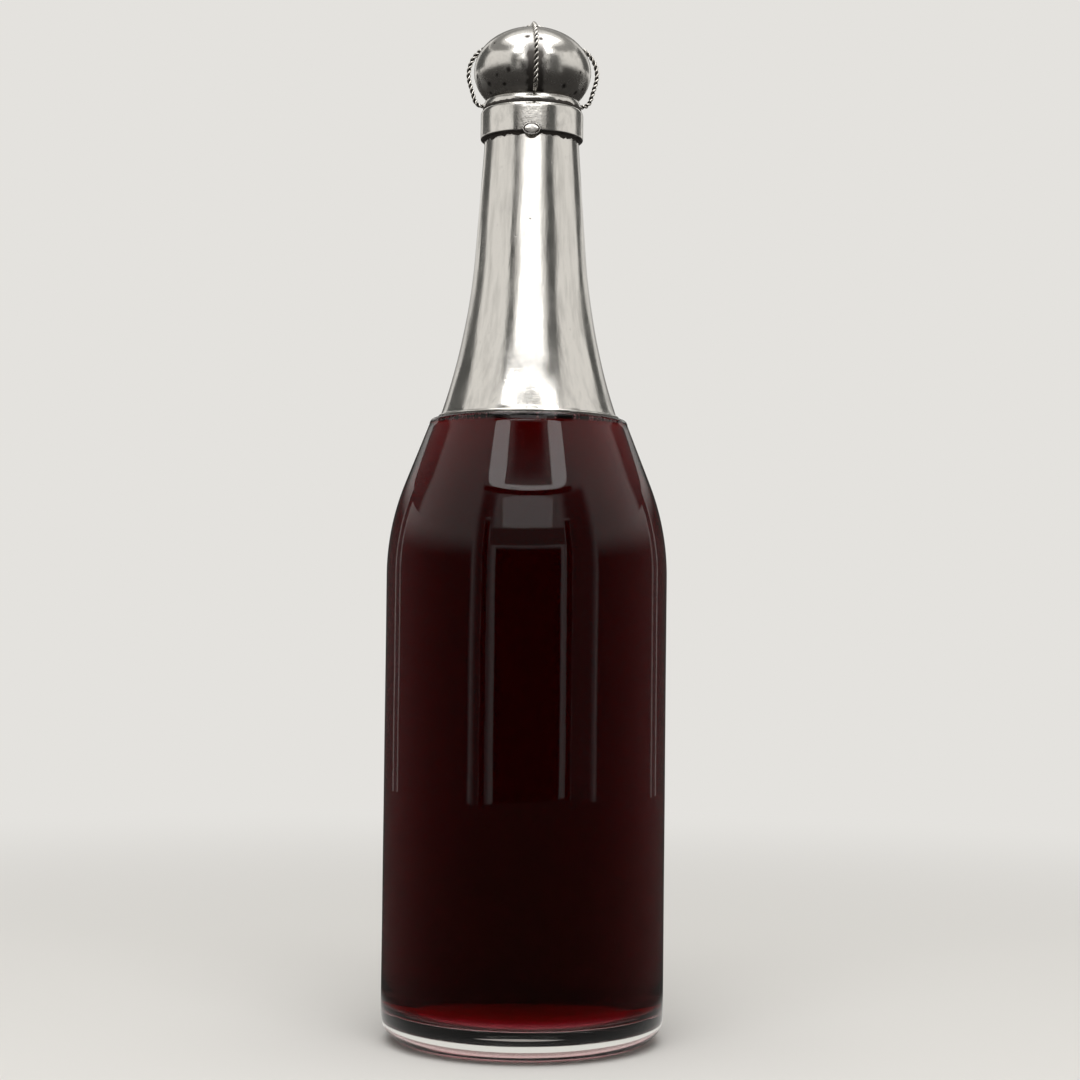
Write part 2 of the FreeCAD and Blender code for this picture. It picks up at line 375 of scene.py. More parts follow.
def ragged_patch(material, blotch, away, rag, near, far, strength):
    """A dark patch at full strength nearer than one distance and gone by another, its edge ragged.
    It draws dirt, and also painted shade under the collar, at the sleeve's bead and beside the
    wires.
    """
    ragged = add(material, "Math", {0: blotch, 1: rag * mm, 2: away}, operation="MULTIPLY_ADD")
    return add(material, "MapRange",
               {"Value": ragged, "From Min": near * mm, "From Max": far * mm,
                "To Min": strength, "To Max": 0.0})


def silver(name, dirt=(), spots=(), wires=(), streaks=0.12):
    """Old sterling silver, polished by hand for a century: mirror bright, softened by a net of
    fine scratches and small pits, with a brown-grey tarnish that polishing leaves behind. Dirt
    is a list of heights, spreads and strengths: grime where parts join, and also painted shade
    under the collar's overhang and the sleeve's bead. Spots are a list of places and sizes.
    Wires gives the turn of each wire of the cage; beside each, grime and a painted shade for its
    shadow and dark reflection darken the silver. Streaks below 1 draw the scratches out along
    the neck. Noise scales are marks to a millimetre: real scratches and pits are several times
    finer, and these are as coarse as it takes for them to show."""
    material = new_material(name)
    place = add(material, "TexCoord").outputs["Object"]
    height = add(material, "SeparateXYZ", {0: place}).outputs["Z"]
    drawn = add(material, "Mapping", {"Vector": place, "Scale": (1, 1, streaks)})
    rubbed = add(material, "Mapping",
                 {"Vector": place, "Scale": (0.2, 1, 1), "Rotation": (0.3, 0.5, 0.9)})
    lines = add(material, "TexNoise", {"Vector": drawn, "Scale": 1.5 / mm, "Detail": 3.0})
    rubs = add(material, "TexNoise", {"Vector": rubbed, "Scale": 1.9 / mm, "Detail": 2.0})
    haze = add(material, "TexNoise", {"Vector": place, "Scale": 0.13 / mm, "Detail": 4.0})
    blotch = add(material, "TexNoise",
                 {"Vector": place, "Scale": 0.42 / mm, "Detail": 6.0, "Roughness": 0.65})
    wiped = add(material, "TexNoise", {"Vector": drawn, "Scale": 0.42 / mm, "Detail": 3.0})
    pits = add(material, "TexVoronoi", {"Vector": place, "Scale": 0.33 / mm})
    pitted = add(material, "MapRange", {"Value": pits, "From Min": 0.04, "From Max": 0.1,
                                        "To Min": 1.0, "To Max": 0.0})
    rare = add(material, "MapRange", {"Value": haze, "From Min": 0.6, "From Max": 0.68})
    pit = add(material, "Math", {0: pitted, 1: rare}, operation="MULTIPLY")
    film = add(material, "MapRange",
               {"Value": wiped, "From Min": 0.42, "From Max": 0.75, "To Max": 0.2})
    clouded = add(material, "MapRange",
                  {"Value": blotch, "From Min": 0.6, "From Max": 0.85, "To Max": 0.25})

    patches = [clouded]
    for level, reach, strength in dirt:
        off = add(material, "Math", {0: height, 1: level * mm}, operation="SUBTRACT")
        away = add(material, "Math", {0: off}, operation="ABSOLUTE")
        patches.append(ragged_patch(material, blotch, away, reach, 0.4 * reach, 1.5 * reach,
                                    strength))
    for centre, size in spots:
        away = add(material, "VectorMath",
                   {0: place, 1: [value * mm for value in centre]}, operation="DISTANCE")
        patches.append(ragged_patch(material, blotch, away.outputs["Value"], 2.0 * size,
                                    1.3 * size, 2.6 * size, 0.95))
    # Beside each wire, on its side of the ball and below a set height, the silver is darker: grime,
    # and a painted shade that stands in for the wire's shadow and dark reflection.
    for turn in wires:
        ahead = add(material, "Mapping",
                    {"Vector": place, "Rotation": (0, 0, math.radians(-turn))})
        axes = add(material, "SeparateXYZ", {0: ahead})
        aside = add(material, "Math", {0: axes.outputs["X"]}, operation="ABSOLUTE")
        strip = ragged_patch(material, blotch, aside, 3.0, 3.7, 5.4, 0.9)
        under = add(material, "MapRange",
                    {"Value": height, "From Min": wire_grime_and_shade_top * mm,
                     "From Max": (wire_grime_and_shade_top + 4) * mm, "To Min": 1.0, "To Max": 0.3})
        facing = add(material, "Math", {0: axes.outputs["Y"], 1: 0.0}, operation="LESS_THAN")
        grime_and_shade_by_wire = add(material, "Math", {0: under, 1: facing}, operation="MULTIPLY")
        patches.append(add(material, "Math", {0: strip, 1: grime_and_shade_by_wire}, operation="MULTIPLY"))
    stain_and_shade = film
    for patch in patches + [pit]:
        stain_and_shade = add(material, "Math", {0: stain_and_shade, 1: patch}, operation="MAXIMUM")

    colour = add(material, "Mix", {0: stain_and_shade, 6: linear("EAE7E2"), 7: linear("2B2420")},
                 data_type="RGBA")
    gloss = add(material, "MapRange", {"Value": haze, "From Min": 0.3, "From Max": 0.7,
                                       "To Min": 0.09, "To Max": 0.19})
    dulled = add(material, "Math", {0: stain_and_shade, 1: 0.4, 2: gloss}, operation="MULTIPLY_ADD")
    worn = add(material, "Math", {0: rubs, 1: 0.35, 2: lines}, operation="MULTIPLY_ADD")
    scratched = add(material, "Bump", {"Height": worn, "Strength": 0.1, "Distance": 0.2 * mm})
    sunk = add(material, "Bump",
               {"Height": pit, "Strength": 0.5, "Distance": 0.1 * mm, "Normal": scratched},
               invert=True)
    surface = add(material, "BsdfPrincipled",
                  {"Base Color": colour.outputs[2], "Metallic": 1.0, "Roughness": dulled,
                   "Normal": sunk})
    add(material, "OutputMaterial", {"Surface": surface})
    return material


def sleeve_skin(height):
    """The outside of the sleeve, with the slight turn-out at its top."""
    lift = max(0.0, (height - collar_foot + lip_height) / lip_height)
    return neck_radius(height) + lip_flare * min(lift, 1.0) ** 2


collar_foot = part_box("collar")[0].z / mm
bead_top = step_height + bead_height
bead_middle = (neck_radius(step_height + bead_height / 2), step_height + bead_height / 2)
sleeve_steps = 150
sleeve_line = neck(bead_top, mouth_height, 0.0, sleeve_steps)
sleeve_outline = (arc(bead_middle, bead_swell, -90, 90, 8)[:-1]
                  + [(sleeve_skin(height), height) for _, height in sleeve_line]
                  + neck(step_height, mouth_height, sleeve_wall)[::-1])
sleeve_outline.append(sleeve_outline[0])

sleeve = turned("silver_neck_sleeve", sleeve_outline, 300)
skin = sleeve.vertex_groups.new(name="outside")
skin.add([vertex.index for vertex in sleeve.data.vertices
          if vertex.co.z / mm > bead_top
          and vertex.co.xy.length / mm > neck_radius(vertex.co.z / mm) - sleeve_wall / 2],
         1.0, "REPLACE")
# The hammer marks are laid on while the sleeve is squashed, so they come out long.
sleeve.scale.z = 1 / hammer_stretch
bpy.ops.object.transform_apply(location=False, rotation=False, scale=True)
uneven(sleeve, hammer_waves, hammer_depth, group="outside")
sleeve.scale.z = hammer_stretch
bpy.ops.object.transform_apply(location=False, rotation=False, scale=True)
bpy.ops.object.shade_smooth_by_angle(angle=crease)
# The band under the collar is dirt and also painted shade for the collar's overhang; the band at
# the step is dirt and plaster, and also painted shade under the bead.
sleeve.data.materials.append(silver("hand-raised sterling silver",
                                    dirt=((collar_foot, 1.6, 0.9),
                                          (step_height - 0.2, 0.5, 0.9))))
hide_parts("neck_sleeve")
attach(sleeve, "root")


# --------------------------------------- collar
# A ring of heavier silver with a bevelled top edge, turned and soldered, that caps the glass
# lip and slips over the sleeve's top.

collar_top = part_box("collar")[1].z / mm
collar_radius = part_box("collar")[1].x / mm
collar_bevel = (0.8, 1.5)
collar_bow = 0.2
collar_edge_round = 0.4
collar_play = 0.1
collar_cap = 1.7                # thickness of its top, over the glass lip
catch_seam_share = 0.53         # the solder seam round the catch, just outside it
catch_seam_turns = range(-36, 217, 18)      # from low on one side, over the top, to the other


def bowed(low, high, bow, steps=8):
    """A line from a low to a high point that swells a little outward in its middle."""
    length = math.dist(low, high)
    outward = ((high[1] - low[1]) / length, (low[0] - high[0]) / length)
    points = []
    for step in range(steps + 1):
        along = step / steps
        swell = 4 * bow * along * (1 - along)
        points.append((low[0] + (high[0] - low[0]) * along + outward[0] * swell,
                       low[1] + (high[1] - low[1]) * along + outward[1] * swell))
    return points


collar_rim = (collar_radius - collar_bevel[0], collar_top)
collar_edge = (collar_radius - collar_edge_round, collar_foot + collar_edge_round)
mouth_radius = neck_radius(mouth_height, bore_inset)
collar_under = collar_top - collar_cap
collar_outline = ([(mouth_radius, collar_top), (mouth_radius, collar_under)]
                  + neck(collar_foot, collar_under, -collar_play, 8)[::-1]
                  + arc(collar_edge, collar_edge_round, -90, 0, 6)
                  + straight((collar_radius, collar_edge[1]),
                             (collar_radius, collar_top - collar_bevel[1]), 16)[1:]
                  + bowed((collar_radius, collar_top - collar_bevel[1]), collar_rim,
                          collar_bow)[1:]
                  + [(mouth_radius, collar_top)])

collar = turned("silver_collar", collar_outline, 240)
uneven(collar, size=7.0, depth=0.05)
catch_low, catch_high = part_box("collar_catch")
catch_middle = (catch_low + catch_high) / 2
catch_size = catch_high - catch_low
catch_seam = []
for degrees in catch_seam_turns:
    turn = math.radians(degrees)
    aside = catch_seam_share * catch_size.x * math.cos(turn) / mm
    lift = catch_seam_share * catch_size.z * math.sin(turn) / mm
    catch_seam.append((catch_middle.x / mm + aside, -math.sqrt(collar_radius ** 2 - aside ** 2),
                       catch_middle.z / mm + lift))
# The band at its foot is dirt and also painted shade on the underside of its overhang.
collar.data.materials.append(silver("turned sterling silver", dirt=((collar_foot, 0.5, 0.9),),
                                    spots=[(place, 0.32) for place in catch_seam],
                                    streaks=0.6))
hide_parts("collar")
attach(collar, "root")


# ---------------------------------- collar dirt and painted shadow
# Dried polish and tarnish, packed for years into the corner under the collar, where it has
# crept down the sleeve in ragged drips. Its dark ring is also a painted shadow under the
# collar's overhang.

def dirt_and_shadow_skin():
    """Dried polish, wax and tarnish: brown-black, dull and crumbly. Under the collar it also
    serves as a painted shadow.
    """
    material = new_material("dried polish, tarnish and painted shadow")
    place = add(material, "TexCoord").outputs["Object"]
    crumb = add(material, "TexNoise", {"Vector": place, "Scale": 1.6 / mm, "Detail": 4.0})
    colour = add(material, "Mix", {0: crumb, 6: linear("0F0C0A"), 7: linear("3A3028")},
                 data_type="RGBA")
    bump = add(material, "Bump", {"Height": crumb, "Strength": 0.7, "Distance": 0.2 * mm})
    surface = add(material, "BsdfPrincipled",
                  {"Base Color": colour.outputs[2], "Roughness": 0.65, "Normal": bump})
    add(material, "OutputMaterial", {"Surface": surface})
    return material


dirt_and_shadow = dirt_and_shadow_skin()


def packed_dirt_and_shadow(name, corners, hem, rag, rag_size):
    """A ring of dirt, which under the collar is also a painted shadow. Corners are its section,
    from its upper inner corner round; the points nearer the hem's height than the others are
    pulled up and down by the rag."""
    section = []
    for start, end in zip(corners, corners[1:] + corners[:1]):
        section += straight(start, end, 4)[:-1]
    piece = turned(name, section + section[:1], 360)
    edge = piece.vertex_groups.new(name="hem")
    far = max(abs(height - hem) for _, height in section)
    for vertex in piece.data.vertices:
        edge.add([vertex.index], 1 - abs(vertex.co.z / mm - hem) / far, "REPLACE")
    uneven(piece, rag_size, rag, direction="Z", group="hem")
    piece.data.materials.append(dirt_and_shadow)
    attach(piece, "root")


drip = 1.0                      # how far it hangs below the collar, before it is made ragged
drip_end = (neck_radius(collar_foot - drip), collar_foot - drip)
packed_dirt_and_shadow("collar_dirt_and_shadow",
            [(neck_radius(collar_foot) - 0.05, collar_foot + 0.05),
             (drip_end[0] - 0.05, drip_end[1]),
             (drip_end[0] + 0.12, drip_end[1]),
             (neck_radius(collar_foot) + 0.65, collar_foot + 0.02)],
            hem=drip_end[1], rag=1.8, rag_size=1.3)


# ---------------------------------------- catch
# An oval thumb catch, pressed from silver with a raised rim and soldered to the collar's
# front, hanging a little below its edge. Dirt has settled inside the rim.

# Each step of its face inward, and how far it lifts or drops.
catch_steps = ((0.3, 0.1), (0.25, -0.2), (0.15, 0.1), (0.5, 0.03), (0.6, 0.01))
catch_dirt = (0.72, 0.9)        # from and to, as a share of its half width

bpy.ops.object.select_all(action="DESELECT")
bpy.ops.mesh.primitive_circle_add(
    vertices=40, radius=catch_size.x / 2, fill_type="NGON", rotation=(math.pi / 2, 0, 0),
    location=(catch_middle.x, catch_high.y, catch_middle.z))
catch = bpy.context.object
catch.name = "silver_catch"
bpy.ops.object.transform_apply(location=True, rotation=True, scale=True)
bpy.ops.object.mode_set(mode="EDIT")
bpy.ops.mesh.select_mode(type="FACE")
bpy.ops.mesh.select_all(action="SELECT")
bpy.ops.transform.resize(value=(1, 1, catch_size.z / catch_size.x),
                         center_override=(catch_middle.x, catch_high.y, catch_middle.z))
catch_lift = sum(lift for _, lift in catch_steps) * mm
bpy.ops.mesh.extrude_region_move(
    TRANSFORM_OT_translate={"value": (0, catch_lift - catch_size.y, 0)})
for inset, lift in catch_steps:
    bpy.ops.mesh.inset(thickness=inset * mm, depth=lift * mm)
bpy.ops.mesh.select_all(action="SELECT")
bpy.ops.mesh.normals_make_consistent(inside=False)
bpy.ops.object.mode_set(mode="OBJECT")
catch.data.materials.append(silver("pressed sterling silver", streaks=1.0))
catch.data.materials.append(dirt_and_shadow)
for face in catch.data.polygons:
    across = math.hypot((face.center.x - catch_middle.x) / catch_size.x,
                        (face.center.z - catch_middle.z) / catch_size.z) * 2
    in_groove = catch_dirt[0] < across < catch_dirt[1] and face.normal.y < -0.2
    face.material_index = 1 if in_groove else 0
softened = catch.modifiers.new("softened edges", "SUBSURF")
softened.levels = 2
softened.render_levels = 2
bpy.ops.object.modifier_apply(modifier=softened.name)
bpy.ops.object.shade_smooth()
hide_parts("collar_catch")
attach(catch, "root")


# --------------------------------- stopper plug
# The stopper's cork: a straight plug of natural cork, chamfered at its foot. It is pressed in
# the mouth of the neck and hidden by the silver.

def cork():
    """Natural cork: warm brown with darker pores and grain, dull all over."""
    material = new_material("natural cork")
    place = add(material, "TexCoord").outputs["Object"]
    grain = add(material, "TexNoise", {"Vector": place, "Scale": 0.5 / mm, "Detail": 6.0})
    pores = add(material, "TexVoronoi", {"Vector": place, "Scale": 0.7 / mm})
    dark = add(material, "MapRange", {"Value": pores, "From Min": 0.1, "From Max": 0.3,
                                      "To Min": 0.8, "To Max": 0.0})
    body = add(material, "Mix", {0: grain, 6: linear("C49A6C"), 7: linear("9C7448")},
               data_type="RGBA")
    colour = add(material, "Mix",
                 {0: dark, 6: body.outputs[2], 7: linear("5B3D22")}, data_type="RGBA")
    bump = add(material, "Bump",
               {"Height": dark, "Strength": 0.6, "Distance": 0.3 * mm}, invert=True)
    surface = add(material, "BsdfPrincipled",
                  {"Base Color": colour.outputs[2], "Roughness": 0.85, "Normal": bump})
    add(material, "OutputMaterial", {"Surface": surface})
    return material


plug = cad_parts["stopper_plug"]
plug.data.materials.clear()
plug.data.materials.append(cork())


# --------------------------------- stopper ring
# A turned silver band, a little narrower at its top, that carries the ball. It is soldered to
# the ball and rests on the collar.

ring_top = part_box("stopper_ring")[1].z / mm
ring_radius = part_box("stopper_ring")[1].x / mm
ring_taper = 0.6
ring_bow = 0.25
ring_round = 0.5
ring_corner = (ring_radius - ring_round, collar_top + ring_round)
ring_shoulder = ring_radius - ring_taper
ring_outline = ([(0, collar_top)]
                + arc(ring_corner, ring_round, -90, 0, 6)
                + bowed((ring_radius, ring_corner[1]), (ring_shoulder, ring_top), ring_bow, 12)[1:]
                + [(0, ring_top)])

ring = turned("silver_stopper_ring", ring_outline, 240)
uneven(ring, size=5.0, depth=0.07)
ring.data.materials.append(silver("silver stopper band",
                                  dirt=((collar_top, 0.35, 0.9), (ring_top, 0.2, 0.9)),
                                  streaks=0.6))
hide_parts("stopper_ring")
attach(ring, "root")

ring_dirt_height = 0.9
packed_dirt_and_shadow("ring_seam_dirt",
            [(ring_radius - 0.5, collar_top + ring_dirt_height),
             (ring_radius - 0.5, collar_top - 0.02),
             (ring_radius + 0.2, collar_top - 0.02),
             (ring_radius + 0.06, collar_top + ring_dirt_height - 0.05)],
            hem=collar_top + ring_dirt_height, rag=0.8, rag_size=0.9)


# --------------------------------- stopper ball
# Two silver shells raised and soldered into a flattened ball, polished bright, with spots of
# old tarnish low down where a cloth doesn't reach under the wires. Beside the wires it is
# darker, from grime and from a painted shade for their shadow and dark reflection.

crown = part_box("stopper_ball")[1].z / mm
ball_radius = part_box("stopper_ball")[1].x / mm
ball_half_height = 14.5
ball_middle = crown - ball_half_height
wire_turns_around = (3.0, 120.0, 240.0)     # the three wires of its cage
# Most spots are old tarnish; the two high up beside the front wire are tarnish and also painted
# shade for the wire's dark reflection.
# Turn from straight ahead, height and size of each.
tarnish_and_shade_spots = ((-53, 304.8, 1.3), (-72, 308.0, 0.9), (-38, 306.6, 1.0), (-32, 303.8, 0.8),
                 (-60, 302.4, 0.8), (-24, 307.8, 1.4), (38, 303.6, 1.1), (62, 302.8, 1.0),
                 (72, 304.5, 0.7), (55, 308.5, 0.6), (-6, 318.6, 0.9), (9, 317.8, 0.8),
                 (-46, 317.5, 0.6), (150, 305.5, 1.1), (171, 303.0, 0.8), (-140, 304.1, 1.0),
                 (-118, 308.2, 0.7), (112, 307.0, 0.8), (128, 318.0, 0.7))

bpy.ops.object.select_all(action="DESELECT")
bpy.ops.mesh.primitive_uv_sphere_add(segments=192, ring_count=96, radius=ball_radius * mm)
ball = bpy.context.object
ball.name = "silver_stopper_ball"
bpy.ops.object.mode_set(mode="EDIT")
bpy.ops.transform.resize(value=(1, 1, ball_half_height / ball_radius))
bpy.ops.transform.translate(value=(0, 0, ball_middle * mm))
bpy.ops.mesh.bisect(plane_co=(0, 0, ring_top * mm), plane_no=(0, 0, 1), use_fill=True,
                    clear_inner=True)
bpy.ops.object.mode_set(mode="OBJECT")
uneven(ball, size=6.0, depth=0.05)
bpy.ops.object.shade_smooth_by_angle(angle=crease)


def ball_reach(height):
    """How far the ball stands out from its axis at a height."""
    return ball_radius * math.sqrt(1 - ((height - ball_middle) / ball_half_height) ** 2)


def on_ball(turn, height):
    """A place on the ball, by turn from straight ahead and height."""
    reach = ball_reach(height)
    return (reach * math.sin(math.radians(turn)), -reach * math.cos(math.radians(turn)), height)


ball.data.materials.append(silver("polished silver ball",
                                  dirt=((ring_top, 0.6, 0.9), (ring_top + 2.5, 9.0, 0.45)),
                                  streaks=1.0, wires=wire_turns_around,
                                  spots=[(on_ball(turn, height), size)
                                         for turn, height, size in tarnish_and_shade_spots]))
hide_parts("stopper_ball")
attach(ball, "root")

ball_dirt_height = 0.5
packed_dirt_and_shadow("ball_seam_dirt",
            [(ball_reach(ring_top) - 0.1, ring_top + ball_dirt_height),
             (ball_reach(ring_top) - 0.1, ring_top - 0.02),
             (ball_reach(ring_top) + 0.5, ring_top - 0.02),
             (ball_reach(ring_top) + 0.35, ring_top + ball_dirt_height - 0.1)],
            hem=ring_top + ball_dirt_height, rag=0.4, rag_size=0.9)


# ----------------------------------- cage wires
# Three wires, each of two silver strands twisted into a rope. They leave the knot on the
# crown, bow out past the ball and turn back in to it just above the ring, as on a bottle's
# wire cage. The front one has slipped a little to one side.

wire_diameter = 1.5
wire_pitch = 3.6                # one full twist of the two strands
wire_start = (wire_diameter / 2 / math.sin(math.pi / len(wire_turns_around)) + 0.1,
              crown + wire_diameter / 2)
wire_foot = ring_top + 0.1 + wire_diameter / 2
wire_corners = (wire_start,
                (wire_start[0] + 3.1, wire_start[1]),
                (ball_radius + 4.2, crown - 5.83),
                (ball_radius + 5.8, crown - 12.5),
                (ball_radius + 2.3, ring_top + 1.25),
                (ball_reach(wire_foot) - 0.6, wire_foot))
wire_bends = (17.0, 8.0, 8.0, 4.0)
strand_steps = 18


def rounded(corners, radii, steps=12):
    """Straight runs joined by tangent arcs, as a list of points."""
    corners = [Vector(corner) for corner in corners]
    points = [corners[0]]
    for before, corner, after, radius in zip(corners, corners[1:], corners[2:], radii):
        inward = (before - corner).normalized()
        outward = (after - corner).normalized()
        half_angle = inward.angle(outward) / 2
        entry = corner + inward * radius / math.tan(half_angle)
        middle = corner + (inward + outward).normalized() * radius / math.sin(half_angle)
        turn = -(math.pi - 2 * half_angle)
        if (entry - middle).angle_signed(corner - middle) > 0:
            turn = -turn
        for step in range(steps + 1):
            angle = turn * step / steps
            spoke = entry - middle
            points.append(middle + Vector((spoke.x * math.cos(angle) + spoke.y * math.sin(angle),
                                           spoke.y * math.cos(angle) - spoke.x * math.sin(angle))))
    return points + [corners[-1]]


wire_path = rounded(wire_corners, wire_bends)
wire_length = sum((after - before).length for before, after in zip(wire_path, wire_path[1:]))

bpy.ops.object.select_all(action="DESELECT")
guide_line = bpy.data.curves.new("wire guide", "CURVE")
guide_line.dimensions = "3D"
guide_spline = guide_line.splines.new("POLY")
guide_spline.points.add(len(wire_path) - 1)
for guide_point, (reach, height) in zip(guide_spline.points, wire_path):
    guide_point.co = (reach * mm, 0, height * mm, 1)
guide = bpy.data.objects.new("wire guide", guide_line)
bpy.context.scene.collection.objects.link(guide)

# One strand's section, an oval because the strand runs aslant, beside the rope's middle line;
# the second is its copy on the other side.
bpy.ops.mesh.primitive_circle_add(vertices=12, radius=wire_diameter / 4 * mm,
                                  rotation=(0, math.pi / 2, 0))
rope = bpy.context.object
rope.name = "rope"
bpy.ops.object.transform_apply(location=True, rotation=True, scale=True)
bpy.ops.object.mode_set(mode="EDIT")
strand_slant = math.atan(math.pi * wire_diameter / 2 / wire_pitch)
bpy.ops.transform.resize(value=(1, 1, 1 / math.cos(strand_slant)))
bpy.ops.transform.translate(value=(0, wire_diameter / 4 * mm, 0))
bpy.ops.mesh.duplicate_move(TRANSFORM_OT_translate={"value": (0, -wire_diameter / 2 * mm, 0)})
bpy.ops.object.mode_set(mode="OBJECT")
twist = rope.modifiers.new("twist", "SCREW")
twist.axis = "X"
twist.angle = math.tau * wire_length / wire_pitch
twist.screw_offset = wire_length * mm
twist.steps = round(strand_steps * wire_length / wire_pitch)
twist.render_steps = twist.steps
twist.use_smooth_shade = True
bpy.ops.object.modifier_apply(modifier="twist")
hollow = rope.data.attributes.new("groove", "FLOAT", "POINT")
for vertex, value in zip(rope.data.vertices, hollow.data):
    value.value = vertex.co.yz.length / mm / (wire_diameter / 2)
follow = rope.modifiers.new("follow", "CURVE")
follow.object = guide
follow.deform_axis = "POS_X"
bpy.ops.object.modifier_apply(modifier="follow")
bpy.ops.object.mode_set(mode="EDIT")
bpy.ops.mesh.select_all(action="DESELECT")
bpy.ops.mesh.select_mode(type="EDGE")
bpy.ops.mesh.select_non_manifold()
bpy.ops.mesh.edge_face_add()
bpy.ops.mesh.select_all(action="SELECT")
bpy.ops.mesh.normals_make_consistent(inside=False)
bpy.ops.object.mode_set(mode="OBJECT")


def rope_silver():
    """Twisted silver wire: bright along the crest of each strand, black in the grooves where
    polish never reaches."""
    material = new_material("twisted silver wire")
    place = add(material, "TexCoord").outputs["Object"]
    groove = add(material, "Attribute", attribute_name="groove").outputs["Fac"]
    grit = add(material, "TexNoise", {"Vector": place, "Scale": 0.9 / mm, "Detail": 3.0})
    ragged = add(material, "Math", {0: grit, 1: -0.25, 2: groove}, operation="MULTIPLY_ADD")
    black = add(material, "MapRange", {"Value": ragged, "From Min": 0.48, "From Max": 0.72,
                                       "To Min": 1.0, "To Max": 0.0})
    colour = add(material, "Mix", {0: black, 6: linear("EAE6DF"), 7: linear("17130F")},
                 data_type="RGBA")
    rough = add(material, "MapRange", {"Value": black, "To Min": 0.18, "To Max": 0.6})
    surface = add(material, "BsdfPrincipled",
                  {"Base Color": colour.outputs[2], "Metallic": 1.0, "Roughness": rough})
    add(material, "OutputMaterial", {"Surface": surface})
    return material


rope.data.materials.append(rope_silver())
for number, turn in enumerate(wire_turns_around, start=1):
    bpy.ops.object.select_all(action="DESELECT")
    rope.select_set(True)
    bpy.context.view_layer.objects.active = rope
    bpy.ops.object.duplicate()
    wire = bpy.context.object
    wire.name = f"twisted_wire_{number}"
    wire.rotation_euler.z = math.radians(turn - 90)
    bpy.ops.object.transform_apply(location=True, rotation=True, scale=True)
    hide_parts(f"cage_wire_{number}")
    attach(wire, "root")
bpy.data.objects.remove(rope)
bpy.data.objects.remove(guide)


# ----------------------------------- crown knot
# A small silver bead, cast and polished, and soldered on the crown over the joint of the three
# wires.

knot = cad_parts["crown_knot"]
knot.data.materials.clear()
knot.data.materials.append(silver("silver crown bead", streaks=1.0))


# ----------------------------- floor and studio
# A pale floor and backdrop, an even sky, softboxes above and in front, and cards out of view
# that give the polished silver and the glass something dark to reflect. Places and sizes in the
# studio are in metres.

pale = "E4E2DE"
sky_level = 0.52
floor_radius = 6.0
floor_drop = 0.3 * mm           # below the base, so that the two never share a face
paper_fade = (0.15, 0.8)        # where lit paper gives way to the backdrop's even tone
glow_radius = 0.025
glow_level = 4.5


def backdrop_strength(owner):
    """The backdrop is at its full tone to the eye and in metal and glass, and at the sky's
    level as light on the object."""
    path = add(owner, "LightPath")
    shown = path.outputs["Is Camera Ray"]
    for ray in ("Is Glossy Ray", "Is Transmission Ray"):
        shown = add(owner, "Math", {0: shown, 1: path.outputs[ray]}, operation="MAXIMUM")
    return add(owner, "MapRange", {"Value": shown, "To Min": sky_level, "To Max": 1.0})


world = bpy.data.worlds.new("studio")
world.use_nodes = True
world.node_tree.nodes.clear()
bpy.context.scene.world = world
sky = add(world, "Background", {"Color": linear(pale), "Strength": backdrop_strength(world)})
add(world, "OutputWorld", {"Surface": sky})

bpy.ops.object.select_all(action="DESELECT")
bpy.ops.mesh.primitive_circle_add(vertices=96, radius=floor_radius, fill_type="NGON",
                                  location=(0, 0, -floor_drop))
floor = bpy.context.object
floor.name = "floor"
paper = new_material("pale paper floor")
place = add(paper, "TexCoord").outputs["Object"]
away = add(paper, "VectorMath", {0: place}, operation="LENGTH").outputs["Value"]
fade = add(paper, "MapRange",
           {"Value": away, "From Min": paper_fade[0], "From Max": paper_fade[1]},
           interpolation_type="SMOOTHSTEP")
matt = add(paper, "BsdfDiffuse", {"Color": linear(pale)})
even = add(paper, "Emission", {"Color": linear(pale), "Strength": backdrop_strength(paper)})
blend = add(paper, "MixShader", {0: fade, 1: matt, 2: even})
add(paper, "OutputMaterial", {"Surface": blend})
floor.data.materials.append(paper)


def hidden_from(piece, *rays):
    """Hide a stage piece from some kinds of ray."""
    for ray in rays:
        setattr(piece, "visible_" + ray, False)


# Painted light: a glowing disc on the paper under the base, seen only through the glass, stands in
# for the light that the thick base gathers there and that glows up into the wine.
bpy.ops.mesh.primitive_circle_add(vertices=64, radius=glow_radius, fill_type="NGON",
                                  location=(0, 0, -floor_drop / 2))
painted_light_spot = bpy.context.object
painted_light_spot.name = "painted light under the base"
hidden_from(painted_light_spot, "camera", "diffuse", "glossy", "shadow")
gathered = new_material("painted light on paper")
glow = add(gathered, "Emission", {"Color": linear(pale), "Strength": glow_level})
add(gathered, "OutputMaterial", {"Surface": glow})
painted_light_spot.data.materials.append(gathered)


def softbox(name, shape, place, aim, size, level):
    """A broad soft lamp. Its level is how bright its face is, where white paper is 1."""
    bpy.ops.object.light_add(type="AREA", location=place)
    lamp = bpy.context.object
    lamp.name = name
    lamp.data.shape = shape
    lamp.data.size, lamp.data.size_y = size
    face = size[0] * size[1] * (math.pi / 4 if shape == "ELLIPSE" else 1)
    lamp.data.energy = level * math.pi * face
    lamp.rotation_euler = (Vector(aim) - Vector(place)).to_track_quat("-Z", "Y").to_euler()
    hidden_from(lamp, "camera")


softbox("overhead softbox", "RECTANGLE", (0.0, -0.15, 1.45), (0, -0.15, 0.25), (1.2, 1.0), 1.8)
softbox("high front softbox", "ELLIPSE", (0.0, -0.781, 1.161), (0, 0, 0.17), (1.45, 0.62), 3.6)
softbox("front softbox", "RECTANGLE", (0.01, -1.056, 0.731), (0, 0, 0.17), (0.84, 0.365), 1.0)


